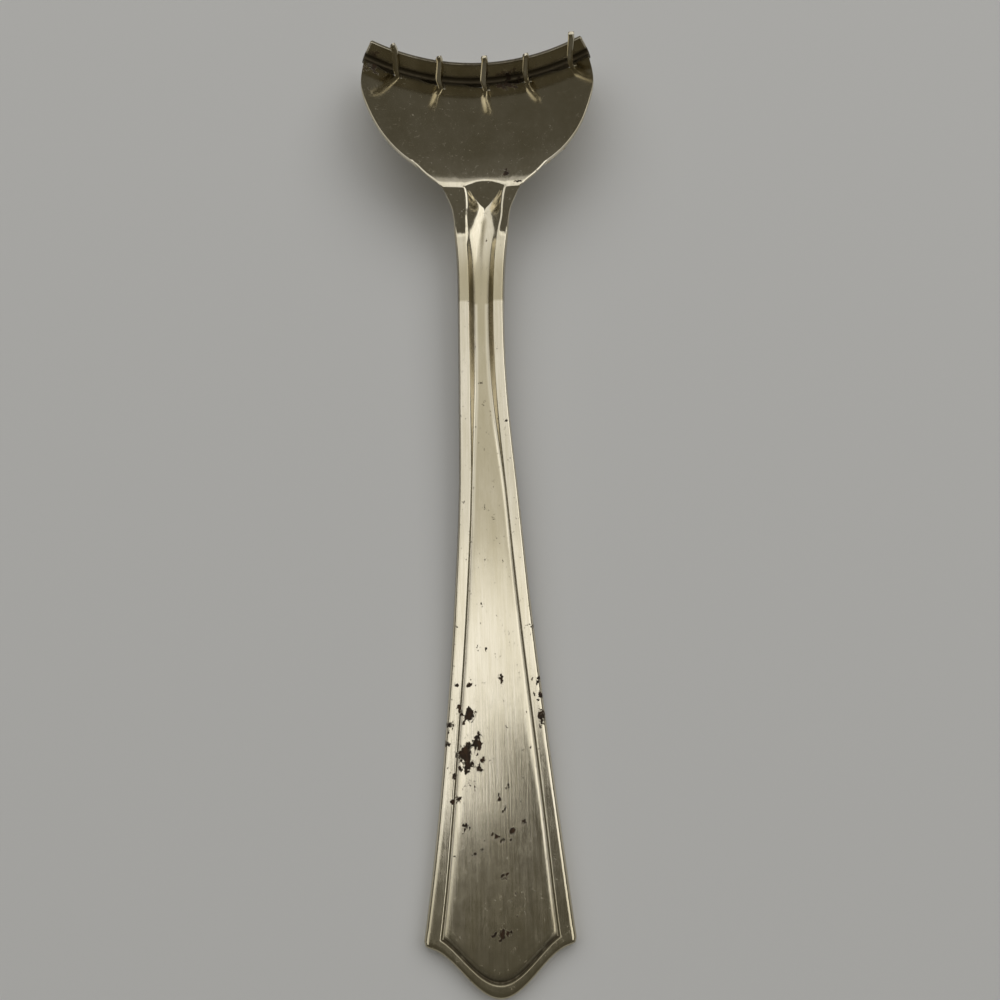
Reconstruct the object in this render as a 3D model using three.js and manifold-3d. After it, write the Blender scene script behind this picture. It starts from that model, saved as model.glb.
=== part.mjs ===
// Green corn slitter and scraper: a kitchen hand tool pressed from one plated steel sheet.
// Millimetres, +Z up. The handle end points to -Y, the scoop and its teeth to +Y.
import * as THREE from 'three';
import { mergeVertices } from 'three/addons/utils/BufferGeometryUtils.js';
import Module from 'manifold-3d';

const wasm = await Module();
wasm.setup();
const { clamp, degToRad, lerp, smoothstep } = THREE.MathUtils;

// Sheet
const SHEET = 1.0; // thickness of the steel
const SEAM = 0.3; // clearance between neighbouring solids

// Handle outline: runs are measured along the handle from its tip, backs from the crest of the neck
const HANDLE_LENGTH = 151.4; // tip to the crest of the neck
const END_WIDTH = 25.4; // across the shoulders of the end
const OGEE_LENGTH = 7.8; // depth of the pointed end
const OGEE_CORNER = 0.3; // square corner left outside the ogee on each side
const OGEE_FADE = 26; // run over which the cross lines straighten
const SHOULDER_FLAT = 1.2; // full width kept above the ogee
const CHANNEL_WIDTH = 2.9; // floor of the channel at the narrowest place
const WAIST_BACK = 33; // crest back to the narrowest width
const TAPER_POWER = 1.65; // how fast the sides close in towards the waist

// Handle section
const WALL_DROP = 2.8; // depth of the turned-down side walls
const WALL_SPLAY = 0.3; // how far a wall leans out over its depth
const WALL_FADE = 22; // crest back to where the walls start to die out
const TIP_RAIL = 0.9; // rail inside the wall at the pointed end
const END_RAIL = 1.4; // the same beside the panel at the end
const SLIM_RAIL = 1.0; // along the slim part
const NECK_RAIL = 2.9; // at the crest
const SLIM_RUN = 47; // run where the rail reaches its slim width
const RAIL_BACK = 6; // crest back to where the rail starts to widen again
const PANEL_BEVEL = 0.4; // width of the panel's sloped edge at the end
const CHANNEL_BEVEL = 1.0; // width of the channel's sloped walls
const NECK_BEVEL = 3.4; // the same where the channel opens at the neck
const FLOOR_LEFT = 0.3; // half of the channel's floor that is left there
const BEVEL_START = 85; // run where the sloped edge starts to widen
const BEVEL_FULL = 112; // run where it is as wide as the channel's walls
const OPEN_BACK = 16; // crest back to where the channel starts to open
const OPEN_FULL = 4.4; // crest back to where it is fully open
const PANEL_DEPTH = 0.4; // panel below the rails at the end
const CHANNEL_DEPTH = 1.5; // channel below the rails along the slim part
const CHANNEL_START = 85; // run where the panel starts to sink into the channel
const CHANNEL_BACK = 26; // crest back to where the channel is deepest
const CHANNEL_PAST = 0.9; // crest forward to the top of the channel's end wall
const CHANNEL_RISE = 3.4; // length of that sloped end wall

// Side profile
const FOOT_LENGTH = 10.4; // level stretch at the handle end
const SWEEP = 40; // run over which the handle turns up from level
const NECK_BACK = 10.4; // crest back to the line where the neck begins
const NECK_AHEAD = 3; // crest forward to the line where the plate begins
const NECK_LIFT = 4.2; // rise of the neck's rails above the line of the handle
const LIFT_BEND = 3; // run over which the rails turn up into the neck
const CREST_BACK = 1.2; // length of the rounded crest on the neck's side
const CREST_AHEAD = 5; // the same on the plate's side
const NECK_WIDTH = 18; // width at the crest

// Scoop
const PLATE_LENGTH = 38; // crest to the crease of the lip, along the plate
const PLATE_SLOPE = degToRad(17); // fall of the plate towards the front
const HEAD_WIDTH = 50.2; // widest line of the scoop
const WIDEST_LINE = 11; // crease back to the widest line
const DISH_RADIUS = 51; // hollow of the plate, across
const DISH_BACK = 11; // crest back to where the hollow begins

// Lip and teeth
const LIP_HEIGHT = 4.1; // above the plate at the middle
const LIP_TIP_HEIGHT = 3.9; // the same at the two corners
const LIP_BEND = 0.8; // inside radius of the crease
const TOOTH_ROOTS = [1.9, 2.7, 2.8, 2.0, 2.0]; // length of each root along the plate, left to right
const LEFT_INSET = 8.2; // left edge of the plate to the first tooth, round the dish
const RIGHT_INSET = 4.2; // right edge of the plate to the last tooth
const TOOTH_HEIGHTS = [7.6, 7.0, 7.2, 6.3, 7.2]; // of each tooth above the plate
const TOOTH_TIP = 0.8; // length of the blunt point
const TOOTH_BEND = 0.5; // inside radius at the root
const TOOTH_CURL = 0.25; // lean of the point over its slot
const SLOT_LENGTH = 5.3; // slot that a tooth leaves behind
const SLOT_NOTCH = 0.6; // height of the slot's upper half in the lip

// Steps of the curved surfaces; odd counts leave a flat facet on the centre line
const FLOOR_STEPS = 9;
const HANDLE_STEPS = 34;
const NECK_STEPS = 18;
const PLATE_STEPS = 16;
const ACROSS_STEPS = 25;
const CREASE_STEPS = 8;
const LIP_STEPS = 3;
const TOOTH_BEND_STEPS = 4;
const TOOTH_STEPS = 6;
const SLOT_STEPS = 8;

// Finishes: colour and roughness
const SATIN = [0xbdb397, 0.38];
const POLISHED = [0x9a9684, 0.18];

// Widening from waist to crest and from crest to widest line: share of the run, share of the widening
const NECK_FLARE = [[0, 0], [0.52, 0.06], [0.73, 0.22], [0.87, 0.41], [0.93, 0.72], [1, 1]];
const HEAD_FLARE = [[0.07, 0.08], [0.14, 0.21], [0.28, 0.47], [0.47, 0.71], [0.72, 0.89], [1, 1]];

const WALL_ACROSS = SHEET * Math.hypot(WALL_DROP, WALL_SPLAY) / WALL_DROP;
const SLIM_BORDER = WALL_SPLAY + SHEET + SLIM_RAIL;
const WAIST_WIDTH = CHANNEL_WIDTH + 2 * (SLIM_BORDER + CHANNEL_BEVEL);
const SHOULDER_RUN = OGEE_LENGTH + SHOULDER_FLAT;
const WAIST_RUN = HANDLE_LENGTH - WAIST_BACK;
const NECK_START = HANDLE_LENGTH - NECK_BACK;
const PLATE_START = HANDLE_LENGTH + NECK_AHEAD;
const CREASE = HANDLE_LENGTH + PLATE_LENGTH;
const CREASE_HEIGHT = LIP_BEND + SHEET - LIP_BEND * Math.cos(PLATE_SLOPE);
const CREST_HEIGHT = CREASE_HEIGHT + PLATE_LENGTH * Math.sin(PLATE_SLOPE);
const CLIMB = HANDLE_LENGTH - FOOT_LENGTH - SWEEP / 2;
const HANDLE_RISE = (CREST_HEIGHT - NECK_LIFT - WALL_DROP) / CLIMB;
const NECK_RISE = HANDLE_RISE + NECK_LIFT / (NECK_BACK - LIFT_BEND / 2);
const ALONG_PLATE = new THREE.Vector3(0, Math.cos(PLATE_SLOPE), -Math.sin(PLATE_SLOPE));
const OFF_PLATE = new THREE.Vector3(0, Math.sin(PLATE_SLOPE), Math.cos(PLATE_SLOPE));

const outlineCurve = (() => {
  const waist = WAIST_WIDTH / 2;
  const crest = NECK_WIDTH / 2;
  const neckRun = HANDLE_LENGTH - WAIST_RUN;
  const headRun = PLATE_LENGTH - WIDEST_LINE;
  const neck = NECK_FLARE.map(([run, grow]) => [WAIST_RUN + run * neckRun, lerp(waist, crest, grow)]);
  const widest = HEAD_WIDTH / 2;
  const head = HEAD_FLARE.map(([run, grow]) => [HANDLE_LENGTH + run * headRun, lerp(crest, widest, grow)]);
  const points = [...neck, ...head, [CREASE, widest]];
  return new THREE.CubicInterpolant(points.map((point) => point[0]), points.map((point) => point[1]), 1);
})();

function halfWidth(run) {
  if (run >= WAIST_RUN) return outlineCurve.evaluate(Math.min(run, CREASE))[0];
  const open = (WAIST_RUN - Math.max(run, SHOULDER_RUN)) / (WAIST_RUN - SHOULDER_RUN);
  return lerp(WAIST_WIDTH, END_WIDTH, open ** TAPER_POWER) / 2;
}

// Centre line: level foot, upward sweep, straight run, steeper neck, rounded crest, straight plate
const crestCurve = new THREE.QuadraticBezierCurve(
  new THREE.Vector2(HANDLE_LENGTH - CREST_BACK, CREST_HEIGHT - CREST_BACK * NECK_RISE),
  new THREE.Vector2(HANDLE_LENGTH, CREST_HEIGHT),
  new THREE.Vector2(
    HANDLE_LENGTH + CREST_AHEAD * Math.cos(PLATE_SLOPE),
    CREST_HEIGHT - CREST_AHEAD * Math.sin(PLATE_SLOPE),
  ),
);

// Extra climb after a change of slope that is spread over a bend
function climbAfter(start, bend, run) {
  const past = Math.max(run - start, 0);
  const turned = Math.min(past, bend);
  return { rise: turned ** 2 / (2 * bend) + past - turned, slope: turned / bend };
}

const neckClimb = (run) => climbAfter(NECK_START, LIFT_BEND, run);

function centre(run) {
  const past = run - HANDLE_LENGTH;
  if (past >= CREST_AHEAD) {
    const y = HANDLE_LENGTH + past * Math.cos(PLATE_SLOPE);
    return { y, z: CREST_HEIGHT - past * Math.sin(PLATE_SLOPE), tilt: PLATE_SLOPE };
  }
  if (past > -CREST_BACK) {
    const share = (past + CREST_BACK) / (CREST_BACK + CREST_AHEAD);
    const point = crestCurve.getPoint(share);
    const tangent = crestCurve.getTangent(share);
    return { y: point.x, z: point.y, tilt: -Math.atan2(tangent.y, tangent.x) };
  }
  const sweep = climbAfter(FOOT_LENGTH, SWEEP, run);
  const lift = neckClimb(run);
  const steeper = NECK_RISE - HANDLE_RISE;
  const z = WALL_DROP + HANDLE_RISE * sweep.rise + steeper * lift.rise;
  return { y: run, z, tilt: -Math.atan(HANDLE_RISE * sweep.slope + steeper * lift.slope) };
}

// Point at a run along the centre line, offset across the tool and square to the sheet
function place(run, across, level) {
  const { y, z, tilt } = centre(run);
  return new THREE.Vector3(across, y + level * Math.sin(tilt), z + level * Math.cos(tilt));
}

// Hollow of the scoop: point at an angle round the dish, raised off the plate
function onDish(run, angle, raise) {
  const radius = DISH_RADIUS - raise;
  return place(run, radius * Math.sin(angle), DISH_RADIUS - radius * Math.cos(angle));
}

function dishRise(run, across) {
  const share = smoothstep(run, HANDLE_LENGTH - DISH_BACK, HANDLE_LENGTH);
  return share * (DISH_RADIUS - Math.sqrt(DISH_RADIUS ** 2 - across ** 2));
}

// Border of the handle from the rim to the panel floor: inset from the outline, level above the rails
function borderSection(run, rail) {
  const border = WALL_SPLAY + SHEET + rail;
  const slimBevel = lerp(PANEL_BEVEL, CHANNEL_BEVEL, smoothstep(run, BEVEL_START, BEVEL_FULL));
  const opening = smoothstep(run, HANDLE_LENGTH - OPEN_BACK, HANDLE_LENGTH - OPEN_FULL);
  const room = halfWidth(run) - border - FLOOR_LEFT;
  const bevel = Math.min(lerp(slimBevel, NECK_BEVEL, opening), room);
  const sunk = smoothstep(run, CHANNEL_START, HANDLE_LENGTH - CHANNEL_BACK);
  const rise = clamp((HANDLE_LENGTH + CHANNEL_PAST - run) / CHANNEL_RISE, 0, 1);
  const lift = (NECK_RISE - HANDLE_RISE) * neckClimb(run).rise;
  const depth = (lerp(PANEL_DEPTH, CHANNEL_DEPTH, sunk) + lift) * rise;
  const drop = WALL_DROP * (1 - smoothstep(run, HANDLE_LENGTH - WALL_FADE, HANDLE_LENGTH));
  return [[0, -drop], [WALL_SPLAY, 0], [border, 0], [border + bevel, -depth]];
}

function sideBorder(run) {
  const slim = lerp(END_RAIL, SLIM_RAIL, smoothstep(run, SHOULDER_RUN, SLIM_RUN));
  const widening = smoothstep(run, HANDLE_LENGTH - RAIL_BACK, HANDLE_LENGTH);
  return borderSection(run, lerp(slim, NECK_RAIL, widening));
}

const outerFace = (border) => border;

// The same border one sheet thickness below, mitred at its folds, with a level rim
function innerFace(border) {
  const [floorInset, floorLevel] = border[border.length - 1];
  const path = [...border, [floorInset + SHEET, floorLevel]];
  const normals = path.slice(1).map(([inset, level], i) => {
    const edge = new THREE.Vector2(inset - path[i][0], level - path[i][1]).normalize();
    return new THREE.Vector2(edge.y, -edge.x);
  });
  const folds = border.slice(1).map(([inset, level], i) => {
    const mitre = normals[i].clone().add(normals[i + 1]);
    mitre.multiplyScalar(SHEET / (1 + normals[i].dot(normals[i + 1])));
    return [inset + mitre.x, level + mitre.y];
  });
  const walled = -border[0][1] / WALL_DROP;
  const rim = [WALL_ACROSS * walled, border[0][1] - SHEET * (1 - walled)];
  return [rim, ...folds];
}

// Columns across the handle: border, panel floor, border
function columns(border, half) {
  const left = border.map(([inset, level]) => ({ across: inset - half, level }));
  const right = border.map(([inset, level]) => ({ across: half - inset, level })).reverse();
  const floor = [];
  for (let i = 1; i < FLOOR_STEPS; i += 1) {
    const across = lerp(left[left.length - 1].across, right[0].across, i / FLOOR_STEPS);
    floor.push({ across, level: right[0].level });
  }
  return [...left, ...floor, ...right];
}

const evenly = (from, to, steps) => Array.from({ length: steps + 1 }, (_, i) => lerp(from, to, i / steps));

// Closed solid between two grids of points, the upper face and the under face of a sheet
function sheetSolid(upper, under) {
  const rows = upper.length;
  const cols = upper[0].length;
  const points = [...upper, ...under].flat();
  const index = [];
  const top = (i, j) => i * cols + j;
  const low = (i, j) => (rows + i) * cols + j;
  const quad = (a, b, c, d) => index.push(a, b, c, a, c, d);
  for (let i = 0; i < rows - 1; i += 1) {
    for (let j = 0; j < cols - 1; j += 1) {
      quad(top(i, j), top(i, j + 1), top(i + 1, j + 1), top(i + 1, j));
      quad(low(i, j), low(i + 1, j), low(i + 1, j + 1), low(i, j + 1));
    }
    quad(top(i + 1, 0), low(i + 1, 0), low(i, 0), top(i, 0));
    quad(top(i, cols - 1), low(i, cols - 1), low(i + 1, cols - 1), top(i + 1, cols - 1));
  }
  for (let j = 0; j < cols - 1; j += 1) {
    quad(top(0, j), low(0, j), low(0, j + 1), top(0, j + 1));
    quad(top(rows - 1, j + 1), low(rows - 1, j + 1), low(rows - 1, j), top(rows - 1, j));
  }
  const geometry = new THREE.BufferGeometry().setFromPoints(points);
  geometry.setIndex(index);
  return geometry;
}

// Handle: the border runs round the pointed end as well as along both sides
function ogee(across) {
  const share = Math.min(Math.abs(across) / (END_WIDTH / 2 - OGEE_CORNER), 1);
  return OGEE_LENGTH * (1 - Math.cos(Math.PI * share)) / 2;
}

function handleGrid(face) {
  const tip = face(borderSection(SHOULDER_RUN, TIP_RAIL));
  const rim = tip[0][1];
  const rail = tip[1][1];
  const inner = tip[tip.length - 1][0];
  const crossLines = evenly(inner, NECK_START - SEAM / 2, HANDLE_STEPS);
  const row = (run, levelAt) => {
    const fade = 1 - clamp((run - inner) / (OGEE_FADE - inner), 0, 1);
    const side = run + OGEE_LENGTH * fade;
    const across = columns(face(sideBorder(side)), halfWidth(side));
    return across.map((column, j) => {
      const edge = j === 0 || j === across.length - 1;
      return place(run + ogee(column.across) * fade, column.across, levelAt(column.level, edge));
    });
  };
  return [
    row(tip[0][0], () => rim),
    row(tip[1][0], (level, edge) => (edge ? rim : rail)),
    row(tip[2][0], (level, edge) => (edge ? rim : rail)),
    ...crossLines.map((run) => row(run, (level) => level)),
  ];
}

// Neck: the handle section opens out and flattens into the hollow plate
function neckGrid(face) {
  const crossLines = evenly(NECK_START + SEAM / 2, PLATE_START - SEAM / 2, NECK_STEPS);
  return crossLines.map((run) => columns(face(sideBorder(run)), halfWidth(run)).map(({ across, level }) => (
    place(run, across, level + dishRise(run, across))
  )));
}

function plateGrid(raise) {
  const crossLines = evenly(PLATE_START + SEAM / 2, CREASE - SEAM / 2, PLATE_STEPS);
  return crossLines.map((run) => {
    const reach = Math.asin(halfWidth(run) / DISH_RADIUS);
    return evenly(-reach, reach, ACROSS_STEPS).map((angle) => onDish(run, angle, raise));
  });
}

// Lip: bent up square to the plate along the crease, lower towards its corners
function lipGrid(outside) {
  const reach = Math.asin(halfWidth(CREASE) / DISH_RADIUS);
  const angles = evenly(-reach, reach, ACROSS_STEPS);
  const radius = LIP_BEND + outside;
  const bend = evenly(0, Math.PI / 2, CREASE_STEPS).map((turn) => angles.map((angle) => (
    onDish(CREASE + SEAM / 2 + radius * Math.sin(turn), angle, LIP_BEND - radius * Math.cos(turn))
  )));
  const wall = evenly(0, 1, LIP_STEPS).slice(1).map((share) => angles.map((angle) => {
    const height = lerp(LIP_HEIGHT, LIP_TIP_HEIGHT, (angle / reach) ** 2);
    return onDish(CREASE + SEAM / 2 + radius, angle, lerp(LIP_BEND, height, share));
  }));
  return [...bend, ...wall];
}

// Frame of one tooth at its root: sideways along the dish, along the plate, off the plate
function toothFrame(angle) {
  const origin = onDish(CREASE, angle, 0);
  const sideways = new THREE.Vector3(Math.cos(angle), 0, 0).addScaledVector(OFF_PLATE, Math.sin(angle));
  const off = new THREE.Vector3(-Math.sin(angle), 0, 0).addScaledVector(OFF_PLATE, Math.cos(angle));
  return new THREE.Matrix4().makeBasis(sideways, ALONG_PLATE, off).setPosition(origin);
}

// Tooth: a tongue of the sheet bent up until it stands upright, narrowing to a blunt point by the lip
function toothGrid({ frame, angle, root, height }, outside) {
  const radius = TOOTH_BEND + outside;
  const fullTurn = Math.PI / 2 + angle;
  const upright = new THREE.Vector2(-Math.cos(fullTurn), Math.sin(fullTurn));
  const onBend = (turn) => new THREE.Vector2(
    TOOTH_BEND - radius * Math.sin(turn),
    TOOTH_BEND - radius * Math.cos(turn),
  );
  const line = (point, share) => {
    const near = -SEAM - lerp(root, TOOTH_TIP, share);
    return [near, -SEAM].map((along) => new THREE.Vector3(point.x, along, point.y).applyMatrix4(frame));
  };
  const bend = evenly(0, fullTurn, TOOTH_BEND_STEPS).map((turn) => line(onBend(turn), 0));
  const blade = evenly(0, 1, TOOTH_STEPS).slice(1).map((share) => {
    const point = onBend(fullTurn).addScaledVector(upright, share * (height - TOOTH_BEND));
    point.x -= TOOTH_CURL * share ** 3;
    return line(point, smoothstep(share, 0, 1));
  });
  return [...bend, ...blade];
}

// Slot that the tongue left behind: a half leaf in the plate and a low notch in the lip
function slotCutters({ frame, root }) {
  const hinge = TOOTH_BEND + SEAM;
  const depth = root + 2 * SEAM;
  const through = LIP_BEND + SHEET + SEAM;
  const extrude = (shape, reach) => (
    new THREE.ExtrudeGeometry(shape, { depth: reach, bevelEnabled: false, curveSegments: SLOT_STEPS })
  );
  const leaf = new THREE.Shape();
  leaf.moveTo(hinge, through);
  leaf.lineTo(-SLOT_LENGTH, through);
  leaf.lineTo(-SLOT_LENGTH, 0);
  leaf.quadraticCurveTo(-SLOT_LENGTH / 2, -depth, hinge, -depth);
  const leafSolid = extrude(leaf, 2 * through).translate(0, 0, -through);

  const notch = new THREE.Shape();
  notch.moveTo(-SLOT_LENGTH, -through);
  notch.lineTo(hinge, -through);
  notch.lineTo(hinge, SLOT_NOTCH);
  notch.quadraticCurveTo(-SLOT_LENGTH / 2, SLOT_NOTCH, -SLOT_LENGTH, 0);
  const notchSolid = extrude(notch, 2 * through).rotateX(Math.PI / 2).translate(0, 2 * through, 0);
  return { leaf: leafSolid.applyMatrix4(frame), notch: notchSolid.applyMatrix4(frame) };
}

function toManifold(geometry) {
  const bare = new THREE.BufferGeometry();
  bare.setAttribute('position', geometry.getAttribute('position').clone());
  if (geometry.index) bare.setIndex(geometry.index.clone());
  const merged = mergeVertices(bare);
  const vertProperties = new Float32Array(merged.getAttribute('position').array);
  const triVerts = new Uint32Array(merged.index.array);
  return new wasm.Manifold(new wasm.Mesh({ numProp: 3, vertProperties, triVerts }));
}

function cutAway(geometry, cutters) {
  const solid = cutters.reduce((left, cutter) => left.subtract(toManifold(cutter)), toManifold(geometry));
  const { vertProperties, triVerts } = solid.getMesh();
  const cut = new THREE.BufferGeometry();
  cut.setAttribute('position', new THREE.BufferAttribute(new Float32Array(vertProperties), 3));
  cut.setIndex([...triVerts]);
  return cut;
}

const tool = new THREE.Group();

function addPiece(name, geometry, color, roughness) {
  const faceted = geometry.toNonIndexed();
  faceted.computeVertexNormals();
  const piece = new THREE.Mesh(faceted, new THREE.MeshStandardMaterial({ color, roughness, metalness: 1 }));
  piece.name = name;
  tool.add(piece);
}

const creaseReach = Math.asin(halfWidth(CREASE) / DISH_RADIUS);
const firstAngle = LEFT_INSET / DISH_RADIUS - creaseReach;
const lastAngle = creaseReach - RIGHT_INSET / DISH_RADIUS;
const teeth = TOOTH_ROOTS.map((root, i) => {
  const angle = lerp(firstAngle, lastAngle, i / (TOOTH_ROOTS.length - 1));
  return { root, angle, height: TOOTH_HEIGHTS[i], frame: toothFrame(angle) };
});
const slots = teeth.map(slotCutters);

addPiece('handle', sheetSolid(handleGrid(outerFace), handleGrid(innerFace)), ...SATIN);
addPiece('neck', sheetSolid(neckGrid(outerFace), neckGrid(innerFace)), ...SATIN);
const plate = sheetSolid(plateGrid(0), plateGrid(-SHEET));
addPiece('scoop_plate', cutAway(plate, slots.map((slot) => slot.leaf)), ...POLISHED);
const lip = sheetSolid(lipGrid(0), lipGrid(SHEET));
addPiece('scraper_lip', cutAway(lip, slots.map((slot) => slot.notch)), ...POLISHED);
teeth.forEach((tooth, i) => {
  addPiece(`slitting_tooth_${i + 1}`, sheetSolid(toothGrid(tooth, 0), toothGrid(tooth, SHEET)), ...POLISHED);
});

// Origin under the middle of the tool, on the surface it rests on
const box = new THREE.Box3().setFromObject(tool, true);
const middle = box.getCenter(new THREE.Vector3());
tool.position.set(-middle.x, -middle.y, -box.min.z);

export default tool;
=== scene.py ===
import math

import bpy
import numpy as np
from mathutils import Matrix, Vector
from mathutils.geometry import delaunay_2d_cdt


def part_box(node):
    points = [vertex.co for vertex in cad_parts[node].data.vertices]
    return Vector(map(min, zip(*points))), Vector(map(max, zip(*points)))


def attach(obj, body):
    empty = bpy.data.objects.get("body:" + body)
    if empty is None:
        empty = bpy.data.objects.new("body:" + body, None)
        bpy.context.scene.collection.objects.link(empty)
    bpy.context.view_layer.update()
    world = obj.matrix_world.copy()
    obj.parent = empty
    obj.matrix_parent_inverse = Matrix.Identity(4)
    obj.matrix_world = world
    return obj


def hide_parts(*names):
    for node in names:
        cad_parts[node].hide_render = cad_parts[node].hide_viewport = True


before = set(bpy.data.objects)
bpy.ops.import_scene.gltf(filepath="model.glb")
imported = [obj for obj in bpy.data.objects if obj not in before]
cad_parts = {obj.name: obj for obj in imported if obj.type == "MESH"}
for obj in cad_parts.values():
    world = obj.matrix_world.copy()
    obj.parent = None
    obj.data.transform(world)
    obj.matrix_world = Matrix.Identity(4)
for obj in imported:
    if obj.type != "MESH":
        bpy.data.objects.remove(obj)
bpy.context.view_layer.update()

# Sizes are millimetres, turned into metres when a mesh is made
MM = 0.001
SHEET = 1.0  # thickness of the steel
SEAM = 0.3  # clearance between neighbouring solids, closed up here

# Handle outline: runs are measured along the handle from its tip, backs from the crest of the neck
HANDLE_LENGTH = 151.4
END_WIDTH = 25.4
OGEE_LENGTH = 7.8
OGEE_CORNER = 0.3
OGEE_FADE = 26
SHOULDER_FLAT = 1.2
CHANNEL_WIDTH = 2.9
WAIST_BACK = 33
TAPER_POWER = 1.65

# Handle section
WALL_DROP = 2.8
WALL_SPLAY = 0.3
WALL_FADE = 22
TIP_RAIL = 0.9
END_RAIL = 1.4
SLIM_RAIL = 1.0
NECK_RAIL = 2.9
SLIM_RUN = 47
RAIL_BACK = 6
PANEL_BEVEL = 0.4
CHANNEL_BEVEL = 1.0
BEVEL_START = 85
BEVEL_FULL = 112
PANEL_DEPTH = 0.4
CHANNEL_DEPTH = 1.5
CHANNEL_START = 85
CHANNEL_BACK = 26

# Side profile
FOOT_LENGTH = 10.4
SWEEP = 40
NECK_BACK = 10.4
NECK_LIFT = 4.2
LIFT_BEND = 3
CREST_BACK = 0.5
CREST_AHEAD = 5
NECK_WIDTH = 16.7

# Scoop
PLATE_LENGTH = 38
PLATE_SLOPE = math.radians(17)
HEAD_WIDTH = 50.2
WIDEST_LINE = 11
DISH_RADIUS = 51
DISH_BACK = 11

# Lip and teeth
LIP_HEIGHT = 4.1
LIP_TIP_HEIGHT = 3.9
LIP_BEND = 0.8
TOOTH_ROOTS = [1.9, 2.7, 2.8, 2.0, 2.0]
LEFT_INSET = 8.2
RIGHT_INSET = 4.2
TOOTH_HEIGHTS = [7.6, 7.0, 7.2, 6.3, 7.2]
TOOTH_SHIFTS = [0.2, 0.1, 0.2, -0.2, 0.35]  # off the even spacing, round the dish
TOOTH_CURLS = [0.9, 0.6, 0.35, 0.6, 0.2]  # lean of each point over its slot
TOOTH_TWISTS = [math.radians(turn) for turn in (5, 22, 20, 14, 16)]
HOOK_START = 0.75  # share of the blade where its point starts to lean
TWIST_END = 0.4  # share of the blade over which it twists
TOOTH_TIP = 1.2
TOOTH_BEND = 0.5
TOOTH_GAP = 0.06  # cut left on both sides of a root
SLOT_LENGTH = 5.3
SLOT_DEPTH = 1.4
SLOT_PULL = 0.6  # how long a slot stays wide, as a share of its length
SLOT_NOTCH = 0.3

# Sideways bend of the centre line: run, offset
SWAY = [
    [0, 0.1], [25, 0.43], [50, 0.43], [66, 0.35], [86, 0.2], [106, -0.32], [122, -0.42],
    [141, 0], [151, 0.3], [160, 0.4], [175, 0.1], [189, 0],
]

# Widening from waist to crest and from crest to widest line: share of the run, share of the widening
NECK_FLARE = [[0, 0], [0.52, 0.07], [0.73, 0.23], [0.87, 0.39], [0.93, 0.65], [1, 1]]
HEAD_FLARE = [[0.07, 0.07], [0.14, 0.21], [0.28, 0.49], [0.47, 0.72], [0.72, 0.89], [1, 1]]

# Rounded folds and edges, which the solids keep sharp: how far a corner is cut back on each side
RIM_ROUND = 0.2
END_SHOULDER_ROUND = 1.0
SHOULDER_ROUND = 0.5
FOLD_ROUND = 0.14
GROOVE_ROUND = 0.12
CHANNEL_ROUND = 0.3
UNDER_ROUND = 0.25
END_CORNER = 1.5  # radius of the two corners of the handle end, in plan

# Edge, trough and end wall of the neck
EDGE_DROP = 0.25  # drop of the rounded edge where the turned-down wall has died out
END_WALL_TOP = 1.3  # crest forward to the arched top of the channel's end wall
END_WALL_ARC = 1.4  # how much further the arch reaches at the middle than at its corners
END_WALL_SLOPE = math.tan(math.radians(44))
END_WALL_EASE = 0.2  # rounding where the end wall meets the trough and the crest
TROUGH_EASE = 0.3  # rounding of the rails' inner edges at the neck
TROUGH_ROUND = 0.65  # share of the trough's section that is round, the rest being straight
TROUGH_ASIDE = 0.7  # how far right of the middle it ends
TROUGH_SWING = [138, 150]  # runs between which it moves there
TROUGH_LIFT = 0.5  # share of the rails' extra climb that the trough's floor stays below them
TROUGH_BACK = 24  # crest back to where the channel starts to become a hollow trough
TROUGH_FULL = 6.5  # crest back to where it is one

# Edges of the head and rolled edge of the panel
EDGE_ROUND = 0.18  # rounded edge of the scoop and lip
UNDERCUT = 0.4  # how far the under face stops short of the upper face along the scoop's edge
BLADE_SHEET = 1.3  # thickness of the upright blades
TOOTH_ROUND = 0.3
LIP_CORNER = 0.35
LIP_EDGE = 0.07  # rounded top edge of the lip
PILLOW = 0.2  # rise of the panel between its grooves
PILLOW_WIDTH = 1.3  # distance from a groove over which it rises
PILLOW_FADE = [95, 116]  # runs between which the rise dies out

# Wear and painted shade: share of the colour that each kind takes, widths, and runs between which it starts
# or ends
# painted shade: a dark line along the grooves beside the panel
GROOVE_SHADE, GROOVE_SHADE_WIDTH = 0.6, 0.14
# painted shade of the step inside the pointed end
TIP_STEP_SHADE, TIP_STEP_SHADE_WIDTH = 1.1, 0.6
# darker along the crease between plate and lip
CREASE_DARKENING, CREASE_DARKENING_WIDTH = 1.3, 0.6
# darker at the root of each tooth
ROOT_DARKENING, ROOT_DARKENING_WIDTH = 0.6, 0.8
# share of the painted groove shade kept on the slim part, and runs over which it drops
SLIM_GROOVE_SHADE, SLIM_GROOVE_SHADE_START = 0.35, [68, 90]
# painted shade on the channel's steep sides, darker on the left
CHANNEL_SIDE_SHADE = [0.75, 0.45]  # left and right
CHANNEL_SIDE_LEVELS = [0.1, 0.5]  # how far down it starts and is full
CHANNEL_SIDE_START = [104, 124]
# painted shadow on the turned-down wall at the left
LEFT_WALL_SHADOW, LEFT_WALL_START = 0.75, [55, 80]
CHANNEL_TARNISH = 0.85
CHANNEL_TARNISH_START = [60, 84]
CHANNEL_TARNISH_END = [132, 146]
TIP_TARNISH = 0.85
END_TARNISH = 0.75
END_TARNISH_FADE = [10, 32]
NECK_GRIME, NECK_TARNISH = 0.35, 0.8
NECK_WEAR_WIDTH = 0.45
NECK_WEAR_START = [126, 142]
NECK_WEAR_END = [145.5, 147.5]
PLATE_TARNISH, PLATE_WEAR_START = 0.6, [156, 164]
LIP_TARNISH = 0.4
TOOTH_TARNISH = 0.3
TOP_GRIME, TOP_GRIME_WIDTH = 1.0, 0.3
# painted shade round the slots
SLOT_SHADE, SLOT_SHADE_WIDTH = 1.2, 1.4

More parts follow.
